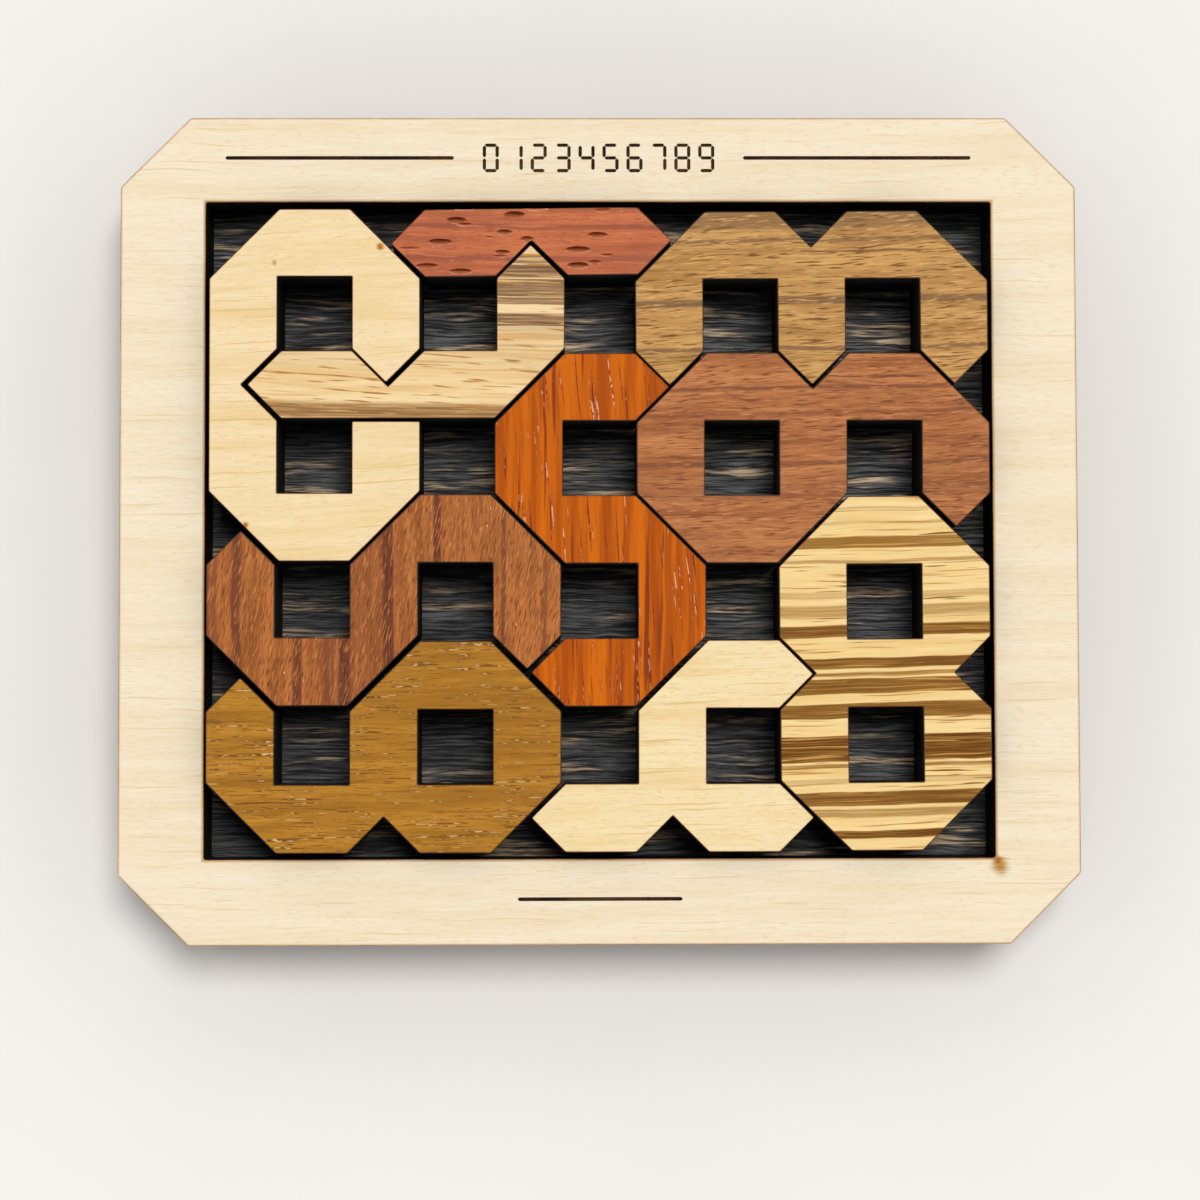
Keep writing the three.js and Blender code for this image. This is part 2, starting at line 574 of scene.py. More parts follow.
    def _knotted(
        self, tree: ShaderTree, knot: Knot, colour: Socket, place: tuple[Socket, Socket], fibres: Socket
    ) -> Socket:
        """Stains a small knot into the colour.

        Args:
            tree: the material's tree.
            knot: the knot.
            colour: the colour so far.
            place: the place across and up the tray.
            fibres: the noise that makes the knot ragged.

        Returns:
            The new colour.
        """
        x, y = place
        reach = tree.maths("POWER", tree.maths("SUBTRACT", x, knot.x), 2.0)
        rise = tree.maths("POWER", tree.maths("SUBTRACT", y, knot.y), 2.0)
        distance = tree.maths("SQRT", tree.maths("ADD", reach, rise))
        ragged = tree.maths("ADD", distance, tree.maths("MULTIPLY", fibres, knot.radius))
        outer, inner = (share * knot.radius for share in self.KNOT_SHARES)
        stain = tree.remap(ragged, outer, inner, 0.0, knot.strength)
        return tree.stain(stain, colour, self.pale, self.knot_colour)

    def _scorched(self, tree: ShaderTree) -> Socket:
        """Reads the scorch from the mesh's own layer.

        Args:
            tree: the material's tree.

        Returns:
            How scorched the face is.
        """
        node = tree.add("ShaderNodeAttribute")
        node.attribute_name = SCORCH_LAYER
        return tree.remap(node.outputs["Fac"], *self.SCORCH_FADE, 0.0, self.SCORCH_LEVEL)


@dataclass(frozen=True)
class CharFinish:
    """A wall burnt by the laser: near black, with faint upright beam lines."""

    name: str
    dark: Colour
    light: Colour
    roughness: float = 0.82
    clouding: float = 1.0

    LINE_WIDTH = 0.35
    LINE_HEIGHT = 9.0
    LINE_DETAIL = 3.0
    LINE_ROUGH = 0.6
    CLOUD_WIDTH = 9.0
    CLOUD_HEIGHT = 5.0
    BURN_SPAN: ClassVar[Span] = (0.32, 0.70)
    ROUGHNESS_SPREAD = 0.1
    GLOSS = 0.2
    RELIEF_STRENGTH = 0.4
    RELIEF_DEPTH = 0.1

    def material(self) -> Material:
        """Builds the charred wood.

        Returns:
            The material.
        """
        tree = ShaderTree(self.name)
        lines = self._place(tree, self.LINE_WIDTH, self.LINE_HEIGHT)
        beam = tree.noise(lines, self.LINE_DETAIL, self.LINE_ROUGH)
        cloud = tree.noise(self._place(tree, self.CLOUD_WIDTH, self.CLOUD_HEIGHT))
        clouded = tree.maths("MULTIPLY", tree.maths("SUBTRACT", cloud, NOISE_MIDDLE), self.clouding)
        share = tree.remap(tree.maths("ADD", beam, clouded), *self.BURN_SPAN)
        tree.relief(beam, self.RELIEF_STRENGTH, self.RELIEF_DEPTH)
        spread = (self.roughness - self.ROUGHNESS_SPREAD, self.roughness + self.ROUGHNESS_SPREAD)
        roughness = tree.remap(beam, *NOISE_SPAN, *spread)
        return tree.coat(tree.blend(share, paint(self.dark), paint(self.light)), roughness, self.GLOSS)

    def _place(self, tree: ShaderTree, width: float, height: float) -> Socket:
        """Finds the place in a noise.

        Args:
            tree: the material's tree.
            width: the width of the noise's patches.
            height: the height of the noise's patches.

        Returns:
            The place.
        """
        x, y, z = tree.place()
        across, along = tree.maths("DIVIDE", x, width), tree.maths("DIVIDE", y, width)
        return tree.point(across, along, tree.maths("DIVIDE", z, height))


@dataclass(frozen=True)
class BoardFinish:
    """The brushed dark board of the tray's floor, black with grey and brown streaks."""

    name: str = "dark_brushed_board"
    black: Colour = (22, 22, 22)
    grey: Colour = (134, 133, 132)
    brown: Colour = (250, 216, 174)
    # The board is darker towards its near left corner and lighter towards its far right corner, by these
    # levels at the places of both corners
    tone_gradient: Span = (0.74, 1.42)
    tone_gradient_reach: float = 91.0

    WAVES = Layer(12.0, 5.0, 2.0, 2.0, 0.5)
    WAVE_HEIGHT = 1.6
    FURROWS = Layer(12.0, 0.44, 1.0, 4.0, 0.68)
    FURROW_SPAN: ClassVar[Span] = (0.38, 0.70)
    CRACKS = Layer(10.0, 0.5, 3.0, 2.0, 0.5)
    CRACK_SPAN: ClassVar[Span] = (0.60, 0.66)
    CRACK_LEVEL = 0.8
    STREAKS = Layer(24.0, 2.6, 5.0, 3.0, 0.6)
    STREAK_SPAN: ClassVar[Span] = (0.52, 0.63)
    # The streaks lie on the furrows' crests
    CREST_SPAN: ClassVar[Span] = (0.38, 0.62)
    ROUGHNESS: ClassVar[Span] = (0.75, 0.5)
    GLOSS = 0.4
    RELIEF_STRENGTH = 0.8
    RELIEF_DEPTH = 0.5

    def material(self) -> Material:
        """Builds the board's surface.

        Returns:
            The material.
        """
        tree = ShaderTree(self.name)
        x, y, z = tree.place()
        waves = tree.maths("MULTIPLY", tree.layer(x, y, self.WAVES), self.WAVE_HEIGHT)
        level = tree.maths("ADD", tree.maths("ADD", y, z), waves)
        furrows = tree.layer(x, level, self.FURROWS)
        cracks = tree.layer(x, level, self.CRACKS)
        streaks = tree.layer(x, level, self.STREAKS)
        colour = tree.blend(tree.remap(furrows, *self.FURROW_SPAN), paint(self.black), paint(self.grey))
        crests = tree.remap(furrows, *self.CREST_SPAN)
        pale = tree.maths("MULTIPLY", tree.remap(streaks, *self.STREAK_SPAN), crests, True)
        colour = tree.blend(pale, colour, paint(self.brown))
        cracked = tree.remap(cracks, *self.CRACK_SPAN, 0.0, self.CRACK_LEVEL)
        colour = tree.blend(cracked, colour, paint(self.black))
        corner = tree.maths("ADD", x, y)
        graded_tone = tree.remap(corner, -self.tone_gradient_reach, self.tone_gradient_reach, *self.tone_gradient)
        colour = tree.tinted(colour, graded_tone)
        tree.relief(furrows, self.RELIEF_STRENGTH, self.RELIEF_DEPTH)
        return tree.coat(colour, tree.remap(furrows, *NOISE_SPAN, *self.ROUGHNESS), self.GLOSS)


@dataclass(frozen=True)
class PitFinish:
    """An open pit in the red wood, with painted shade that grows deeper down and under its far edge, a
    painted lit slope near to, and a painted highlight along its near rim.
    """

    name: str = "wood_pit"
    # These colours hold painted light: from the rim colour to the deepest one is painted shade growing with
    # depth, the third is painted light on faces turned to the key light, and the fourth is a painted
    # highlight near the top of that lit side
    rim: Colour = (198, 100, 46)
    shaded_bottom: Colour = (122, 54, 16)
    slope: Colour = (182, 102, 62)
    painted_highlight: Colour = (216, 172, 152)
    rim_depth: float = 0.05
    shaded_bottom_depth: float = 0.6
    highlight_depth: float = 0.42

    FIBRE_LENGTH = 3.0
    FIBRE_WIDTH = 0.3
    # The fibres make the painted depth shade and the edge of the painted lit slope ragged, and break up the
    # painted highlight
    DEPTH_RAGGED: ClassVar[Span] = (0.6, 1.5)
    LIT_SIDE_RAGGED: ClassVar[Span] = (-0.2, 0.2)
    HIGHLIGHT_SPAN: ClassVar[Span] = (0.42, 0.52)
    # How far a face turns to the far side, towards the key light, where the painted lit slope starts and
    # where it is full
    LIT_SIDE_SPAN: ClassVar[Span] = (0.1, 0.5)
    ROUGHNESS: ClassVar[Span] = (0.6, 0.8)
    GLOSS = 0.15

    def material(self, top: float) -> Material:
        """Builds the pit's material.

        Args:
            top: the height of the face that the pits open into, in millimetres.

        Returns:
            The material.
        """
        tree = ShaderTree(self.name)
        x, y, z = tree.place()
        along = tree.maths("DIVIDE", x, self.FIBRE_LENGTH)
        fibres = tree.noise(tree.point(along, tree.maths("DIVIDE", y, self.FIBRE_WIDTH), z))
        depth = tree.maths("SUBTRACT", top, z)
        ragged = tree.maths("MULTIPLY", depth, tree.remap(fibres, *NOISE_SPAN, *self.DEPTH_RAGGED))
        # Painted shade: the deeper down the pit, the darker
        share = tree.remap(ragged, self.rim_depth, self.shaded_bottom_depth)
        colour = tree.blend(share, paint(self.rim), paint(self.shaded_bottom))
        # Painted light: faces turned towards the far side, where the key light is, get the lighter slope
        # colour
        normal = tree.add("ShaderNodeSeparateXYZ")
        tree.feed(normal.inputs[0], tree.add("ShaderNodeNewGeometry").outputs["Normal"])
        edge = tree.remap(fibres, *NOISE_SPAN, *self.LIT_SIDE_RAGGED)
        lit_side = tree.remap(tree.maths("ADD", normal.outputs["Y"], edge), *self.LIT_SIDE_SPAN)
        colour = tree.blend(lit_side, colour, paint(self.slope))
        # Painted highlight along the top of the lit side
        highlight = tree.maths("MULTIPLY", lit_side, tree.remap(depth, self.highlight_depth, 0.0))
        highlight = tree.maths("MULTIPLY", highlight, tree.remap(fibres, *self.HIGHLIGHT_SPAN))
        colour = tree.blend(highlight, colour, paint(self.painted_highlight))
        return tree.coat(colour, tree.remap(fibres, *NOISE_SPAN, *self.ROUGHNESS), self.GLOSS)


PALE_SCORCH: Colour = (150, 92, 36)

DIGIT_FINISHES: tuple[WoodFinish, ...] = (
    WoodFinish(
        "cream_maple", Grain.ACROSS, (246, 222, 177), (239, 209, 151), Figure(70.0, 4.5, 0.40, 0.70),
        marks=(
            Marks((212, 164, 92), 26.0, 0.5, 0.645, 0.05, 0.42),
            Marks((250, 232, 192), 9.0, 0.6, 0.60, 0.08, 0.2),
            Marks((222, 180, 112), 1.6, 0.30, 0.52, 0.20, 0.30),
        ),
        knots=(Knot(-39.9, 51.5, 1.0, 1.0), Knot(-64.3, 0.6, 0.8, 1.0), Knot(-59.2, 48.5, 0.8, 0.6)),
        knot_colour=(158, 88, 24),
        slant=0.06, waviness=0.5, fibre=0.03, seed=3.0, scorch_colour=PALE_SCORCH,
    ),
    WoodFinish(
        "pitted_red_wood", Grain.ACROSS, (210, 118, 73), (172, 91, 59), Figure(45.0, 3.6, 0.34, 0.70),
        marks=(
            Marks((124, 66, 54), 34.0, 2.0, 0.56, 0.18, 0.5),
            Marks((126, 64, 44), 1.6, 0.30, 0.52, 0.22, 0.42, 0.2),
            Marks((220, 136, 92), 7.0, 0.5, 0.61, 0.12, 0.3),
            # Sparse pale grey spots: painted highlights on small pits
            Marks((206, 164, 150), 2.4, 0.6, 0.72, 0.03, 0.6),
        ),
        bands=(Band(55.1, 0.2, 0.4, 0.5), Band(49.4, 0.2, 0.4, 0.7)),
        band_colour=(104, 52, 44),
        slant=-0.01, waviness=0.4, fibre=0.07, seed=8.0, scorch_colour=(70, 28, 16),
    ),
    WoodFinish(
        "streaked_brown_wood", Grain.UPWARD, (188, 112, 54), (150, 84, 36), Figure(30.0, 2.6, 0.36, 0.66),
        marks=(
            Marks((98, 48, 22), 2.1, 0.29, 0.50, 0.20, 0.68, 0.3, -0.22),
            Marks((222, 148, 88), 2.1, 0.29, 0.53, 0.18, 0.38, 0.0, -0.22),
            Marks((236, 214, 190), 1.2, 0.5, 0.755, 0.03, 0.7),
        ),
        bands=(
            Band(-70.6, 0.7, 0.4, 1.0), Band(-66.0, 0.35, 0.7, 0.9), Band(-54.9, 0.5, 0.72, 0.6),
            Band(-49.0, 0.6, 0.45, 0.8), Band(-46.3, 0.5, 0.9, 0.9), Band(-43.5, 5.5, 0.2, 2.5),
            Band(-38.5, 0.7, 0.85, 0.6), Band(-29.5, 0.4, 0.85, 0.4), Band(-17.3, 0.15, 0.5, 0.5),
            Band(-10.1, 0.15, 0.35, 0.6),
        ),
        band_colour=(84, 40, 28),
        waviness=0.35, fibre=0.12, seed=14.0, scorch_colour=(60, 30, 14),
    ),
    WoodFinish(
        "golden_brown_wood", Grain.ACROSS, (207, 157, 90), (176, 128, 68), Figure(36.0, 2.6, 0.36, 0.66),
        marks=(
            Marks((108, 76, 50), 34.0, 0.8, 0.65, 0.08, 0.55),
            Marks((104, 66, 32), 3.8, 0.31, 0.54, 0.16, 0.80, 0.4, -0.06),
            Marks((238, 196, 134), 3.0, 0.30, 0.55, 0.16, 0.36, 0.0, -0.06),
        ),
        bands=(
            Band(56.2, 1.2, 0.5, 2.0), Band(52.0, 0.15, 0.55, 0.4), Band(40.8, 0.4, 0.7, 0.5),
            Band(32.0, 0.15, 0.6, 0.4),
        ),
        band_colour=(104, 76, 52),
        slant=0.02, waviness=0.5, fibre=0.12, seed=21.0, scorch_colour=(70, 44, 20),
    ),
    WoodFinish(
        "white_maple", Grain.ACROSS, (246, 224, 175), (240, 210, 151), Figure(60.0, 4.0, 0.40, 0.70),
        marks=(
            Marks((216, 170, 98), 24.0, 0.5, 0.64, 0.05, 0.5),
            Marks((252, 238, 204), 9.0, 0.6, 0.60, 0.08, 0.2),
            Marks((222, 180, 112), 1.6, 0.30, 0.52, 0.20, 0.34),
        ),
        slant=0.03, waviness=0.5, fibre=0.03, seed=27.0, scorch_colour=PALE_SCORCH,
    ),
    WoodFinish(
        "orange_pored_wood", Grain.UPWARD, (212, 106, 10), (172, 76, 6), Figure(55.0, 2.8, 0.36, 0.66),
        marks=(
            Marks((118, 44, 22), 48.0, 1.3, 0.62, 0.10, 0.75),
            Marks((100, 38, 26), 15.0, 0.55, 0.635, 0.06, 0.75, 0.5, 0.07, (196, 118, 84), 1.2),
            Marks((140, 60, 34), 13.0, 0.42, 0.655, 0.04, 0.6, 0.5, 0.10, (232, 172, 138), 1.4),
        ),
        bands=(Band(16.5, 0.3, 0.35, 0.5), Band(12.6, 0.4, 0.35, 0.7)),
        band_colour=(112, 40, 20),
        waviness=0.4, fibre=0.06, seed=33.0, scorch_colour=(76, 30, 10), roughness=0.5, gloss=0.06,
    ),
    WoodFinish(
        "olive_flecked_wood", Grain.ACROSS, (190, 133, 46), (160, 107, 34), Figure(40.0, 3.2, 0.36, 0.66),
        marks=(
            Marks((138, 88, 22), 18.0, 0.9, 0.59, 0.08, 0.5),
            Marks((138, 90, 28), 2.2, 0.34, 0.54, 0.18, 0.5, 0.2),
            Marks((104, 62, 22), 9.0, 0.34, 0.595, 0.08, 0.72, 0.4, 0.0, (218, 178, 122), 1.7),
            Marks((108, 66, 24), 4.5, 0.32, 0.61, 0.07, 0.75, 0.4, 0.0, (214, 174, 118), 1.2),
        ),
        slant=0.012, waviness=0.25, fibre=0.06, seed=39.0, scorch_colour=(70, 44, 14), gloss=0.06,
    ),
    WoodFinish(
        "light_striped_wood", Grain.ACROSS, (245, 217, 164), (234, 196, 136), Figure(40.0, 2.4, 0.38, 0.66),
        marks=(
            Marks((172, 112, 44), 9.0, 0.62, 0.585, 0.10, 0.8, 0.1, 0.05),
            Marks((198, 144, 80), 22.0, 0.55, 0.60, 0.08, 0.5),
        ),
        bands=(
            Band(49.0, 0.6, 0.8), Band(46.8, 1.1, 0.95), Band(43.7, 1.5, 0.93), Band(41.3, 0.5, 0.8),
            Band(37.8, 0.9, 1.0, 0.5), Band(36.0, 0.4, 0.25), Band(34.8, 0.3, 0.4), Band(33.0, 0.2, 0.25),
            Band(30.4, 1.2, 0.1, 1.0), Band(20.6, 0.5, 0.7, 1.6, (116, 74, 34)),
        ),
        band_colour=(128, 92, 60), band_break=0.5,
        slant=-0.02, waviness=0.2, fibre=0.05, seed=45.0, scorch_colour=PALE_SCORCH,
    ),
    WoodFinish(
        "bold_striped_wood", Grain.ACROSS, (247, 216, 152), (239, 201, 130), Figure(40.0, 2.2, 0.38, 0.66),
        marks=(
            Marks((170, 112, 44), 24.0, 0.5, 0.615, 0.06, 0.7),
            Marks((124, 78, 28), 14.0, 0.5, 0.675, 0.05, 0.85),
        ),
        bands=(
            Band(2.3, 0.15, 0.2), Band(-0.3, 0.15, 0.2), Band(-3.8, 0.9, 0.6), Band(-7.2, 0.2, 0.35),
            Band(-13.4, 0.5, 0.22), Band(-16.4, 0.8, 0.35, 0.6), Band(-20.1, 0.95, 0.85),
            Band(-25.9, 0.75, 0.85), Band(-27.8, 0.2, 0.55), Band(-30.0, 1.2, 0.8), Band(-34.4, 1.2, 0.8),
            Band(-41.3, 2.2, 0.97), Band(-44.5, 0.25, 0.5), Band(-47.2, 0.4, 0.2), Band(-50.4, 1.1, 0.85),
            Band(-53.0, 0.5, 0.4, 0.5), Band(-56.9, 0.55, 0.95),
        ),
        band_colour=(108, 62, 12), band_break=0.62,
        slant=0.025, waviness=0.35, fibre=0.05, seed=51.0, scorch_colour=(110, 66, 24), gloss=0.08,
    ),
    WoodFinish(
        "reddish_brown_wood", Grain.ACROSS, (194, 125, 75), (159, 95, 54), Figure(40.0, 2.8, 0.36, 0.66),
        marks=(
            Marks((102, 58, 40), 40.0, 0.8, 0.65, 0.07, 0.65),
            Marks((94, 50, 32), 3.2, 0.28, 0.52, 0.20, 0.65, 0.3, -0.03),
            Marks((222, 160, 112), 2.8, 0.28, 0.54, 0.18, 0.32, 0.0, -0.03),
        ),
        bands=(
            Band(24.8, 0.15, 0.45, 0.4), Band(20.2, 0.15, 0.3, 0.4), Band(11.0, 0.2, 0.45, 0.5),
            Band(6.2, 1.0, 0.22, 1.0),
        ),
        band_colour=(88, 50, 36),
        slant=0.02, waviness=0.4, fibre=0.13, seed=57.0, scorch_colour=(64, 34, 18), gloss=0.08,
    ),
)
FRAME_FINISH = WoodFinish(
    "frame_maple", Grain.ACROSS, (247, 232, 203), (242, 223, 188), Figure(60.0, 3.6, 0.38, 0.68),
    marks=(
        Marks((222, 184, 124), 30.0, 0.48, 0.64, 0.07, 0.45),
        Marks((222, 186, 130), 1.8, 0.32, 0.52, 0.20, 0.26),
        Marks((252, 242, 220), 12.0, 0.5, 0.60, 0.10, 0.25),
    ),
    knots=(Knot(72.9, -61.6, 2.4, 0.7), Knot(72.5, -60.7, 1.4, 1.0)),
    knot_colour=(150, 88, 22),
    slant=0.012, waviness=0.6, fibre=0.02, seed=63.0, scorch_colour=(176, 118, 56),
)
CHAR = CharFinish("charred_wall", (7, 6, 5), (15, 12, 10))
TOAST = CharFinish("toasted_edge", (74, 44, 22), (150, 102, 58), clouding=0.35)
SOOT = CharFinish("sooty_board_edge", (16, 14, 13), (38, 34, 31), clouding=0.5)
AMBER = CharFinish("amber_arris", (150, 98, 50), (204, 152, 96))
ARRIS = CharFinish("scorched_arris", (44, 26, 14), (92, 58, 30))
GROOVE = CharFinish("engraved_groove", (38, 20, 10), (96, 62, 30))


def select_only(piece: Piece) -> None:
    """Deselects everything else and makes one object active.

    Args:
        piece: the object to select.
    """
    bpy.ops.object.select_all(action="DESELECT")
    piece.select_set(True)
    bpy.context.view_layer.objects.active = piece


def copy_of_node(node: str, name: str) -> Piece:
    """Copies a solid's mesh, merges its loose triangles and dissolves its flat seams.

    Args:
        node: the solid's node.
        name: the new piece's name.

    Returns:
        The new piece.
    """
    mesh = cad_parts[node].data.copy()
    mesh.materials.clear()
    piece = bpy.data.objects.new(name, mesh)
    bpy.context.scene.collection.objects.link(piece)
    select_only(piece)
    bpy.ops.object.mode_set(mode="EDIT")
    bpy.ops.mesh.select_all(action="SELECT")
    bpy.ops.mesh.remove_doubles(threshold=MERGE_DISTANCE * MM)
    bpy.ops.mesh.dissolve_limited(angle_limit=FLAT_SEAM)
    bpy.ops.mesh.customdata_custom_splitnormals_clear()
    bpy.ops.object.mode_set(mode="OBJECT")
    mesh.name = name
    return piece


def edit(piece: Piece, pick: Pick, wanted: Callable[[Element], bool]) -> None:
    """Enters edit mode with just the wanted edges or faces selected.

    Args:
        piece: the object to edit.
        pick: whether edges or faces are selected.
        wanted: says which of them.
    """
    select_only(piece)
    bpy.ops.object.mode_set(mode="EDIT")
    bpy.ops.mesh.select_mode(type=pick.value)
    bpy.ops.mesh.select_all(action="DESELECT")
    shape = bmesh.from_edit_mesh(piece.data)
    shape.normal_update()
    for element in shape.edges if pick is Pick.EDGE else shape.faces:
        element.select_set(wanted(element))
    shape.select_flush_mode()
    bmesh.update_edit_mesh(piece.data)


def leave_edit_mode() -> None:
    """Goes back to object mode."""
    bpy.ops.object.mode_set(mode="OBJECT")


def rise(edge: bmesh.types.BMEdge) -> float:
    """Returns how far an edge rises, in millimetres."""
    return abs(edge.verts[0].co.z - edge.verts[1].co.z) / MM


def round_upright_corners(piece: Piece, radius: float) -> None:
    """Rounds the corners that run up a board's walls, as the laser's beam leaves them.

    Args:
        piece: the board.
        radius: the rounding in millimetres.
    """
    edit(piece, Pick.EDGE, lambda edge: rise(edge) > LEAST_RISE)
    bpy.ops.mesh.bevel(offset=radius * MM, segments=CORNER_SEGMENTS, affect="EDGES")
    leave_edit_mode()


def ring_top_face(piece: Piece, width: float) -> None:
    """Insets the top face, so that a scorch can fade from the edge inwards.

    Args:
        piece: the board.
        width: the ring's width in millimetres.
    """
    edit(piece, Pick.FACE, lambda face: face.normal.z > FLAT_NORMAL)
    bpy.ops.mesh.inset(thickness=width * MM, use_even_offset=True)
    leave_edit_mode()


def write_scorch(piece: Piece) -> None:
    """Writes how scorched each point is: fully on the edge and the walls, not at all inside the ring.

    Args:
        piece: the board.
    """
    shape = bmesh.new()
    shape.from_mesh(piece.data)
    shape.normal_update()
    inside = [all(face.normal.z > FLAT_NORMAL for face in vertex.link_faces) for vertex in shape.verts]
    shape.free()
    layer = piece.data.attributes.new(SCORCH_LAYER, "FLOAT", "POINT")
    layer.data.foreach_set("value", [0.0 if is_inside else 1.0 for is_inside in inside])


def rounded(point: Vector) -> Place:
    """Returns a point's place to the nearest tenth of a micrometre, to look it up by."""
    return tuple(round(value, PLACE_DIGITS) for value in point)


def scorched_points(piece: Piece) -> set[Place]:
    """Finds the points that are scorched.

    Args:
        piece: the board.

    Returns:
        Their places.
    """
    layer = piece.data.attributes[SCORCH_LAYER].data
    levels = zip(piece.data.vertices, layer)
    return {rounded(vertex.co) for vertex, level in levels if level.value > HALF_SCORCHED}


def dress(piece: Piece, face: Material, wall: Material, arris: Material) -> None:
    """Gives a board its three finishes by the way its faces look.

    Args:
        piece: the board.
        face: the finish of its top and underside.
        wall: the finish of its walls.
        arris: the finish of the eased edges between them.
    """
    for material in (face, wall, arris):
        piece.data.materials.append(material)
    for polygon in piece.data.polygons:
        lean = abs(polygon.normal.z)
        side = Side.FACE if lean > FLAT_NORMAL else Side.WALL if lean < WALL_NORMAL else Side.ARRIS
        polygon.material_index = int(side)


def smooth(piece: Piece) -> None:
    """Shades the rounded corners smooth and keeps the arrises crisp."""
    select_only(piece)
    bpy.ops.object.shade_smooth_by_angle(angle=SMOOTH_ANGLE)


def copy_of(model: Piece, place: Place, turn: Place) -> Piece:
    """Copies a model with a mesh of its own.

    Args:
        model: the object to copy.
        place: the copy's place in metres.
        turn: the copy's turn about x, y and z.

    Returns:
        The copy.
    """
    copy = model.copy()
    copy.data = model.data.copy()
    copy.location = place
    copy.rotation_euler = turn
    bpy.context.scene.collection.objects.link(copy)
    return copy


def unit_ball(around: int, rings: int) -> Piece:
    """Models a ball of radius one.

    Args:
        around: how many faces it has round it.
        rings: how many faces it has from pole to pole.

    Returns:
        The ball.
    """
    bpy.ops.object.select_all(action="DESELECT")
    bpy.ops.mesh.primitive_uv_sphere_add(segments=around, ring_count=rings, radius=1.0)
    return bpy.context.view_layer.objects.active


def joined(parts: list[Piece], name: str) -> Piece:
    """Joins several objects into one with its place in its mesh.

    Args:
        parts: the objects to join.
        name: the name of the result.

    Returns:
        The joined object.
    """
    bpy.ops.object.select_all(action="DESELECT")
    for part in parts:
        part.select_set(True)
    bpy.context.view_layer.objects.active = parts[0]
    bpy.ops.object.join()
    result = bpy.context.view_layer.objects.active
    result.name = name
    bpy.ops.object.transform_apply(location=True, rotation=True, scale=True)
    return result


def carve(piece: Piece, cutter: Piece) -> None:
    """Cuts one object out of another, leaving the cutter's finish in the cut.

    Args:
        piece: the object that is cut.
        cutter: the shape that is taken away, and deleted.
    """
    select_only(piece)
    modifier = piece.modifiers.new("carve", "BOOLEAN")
    modifier.operation = "DIFFERENCE"
    modifier.solver = "EXACT"
    modifier.use_self = True
    modifier.material_mode = "TRANSFER"
    modifier.object = cutter
    bpy.ops.object.modifier_apply(modifier=modifier.name)
    bpy.data.objects.remove(cutter)


def hand_over(piece: Piece, body: str, node: str) -> None:
    """Sets a finished piece on its body in place of its solid.

    Args:
        piece: the finished piece.
        body: the body it rides on.
        node: the solid it stands for.
    """
    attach(piece, body)
    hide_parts(node)


@dataclass
class DigitPiece:
    """One loose numeral, cut by laser from its own wood."""

    value: int
    finish: WoodFinish
    corner_radius: float = 0.25
    scorch_width: float = 0.3

    def build(self, wall: Material, arris: Material) -> Piece:
        """Models and dresses the numeral.

        Args:
            wall: the finish of its walls.
            arris: the finish of its eased edges.

        Returns:
            The finished piece.
        """
        piece = copy_of_node(f"digit_{self.value}", f"numeral_{self.value}")
        ring_top_face(piece, self.scorch_width)
        round_upright_corners(piece, self.corner_radius)
        write_scorch(piece)
        dress(piece, self.finish.material(), wall, arris)
        self.detail(piece)
        smooth(piece)
        hand_over(piece, f"loose_{self.value}", f"digit_{self.value}")
        return piece

    def detail(self, piece: Piece) -> None:
        """Adds what only this numeral has; most have nothing more."""


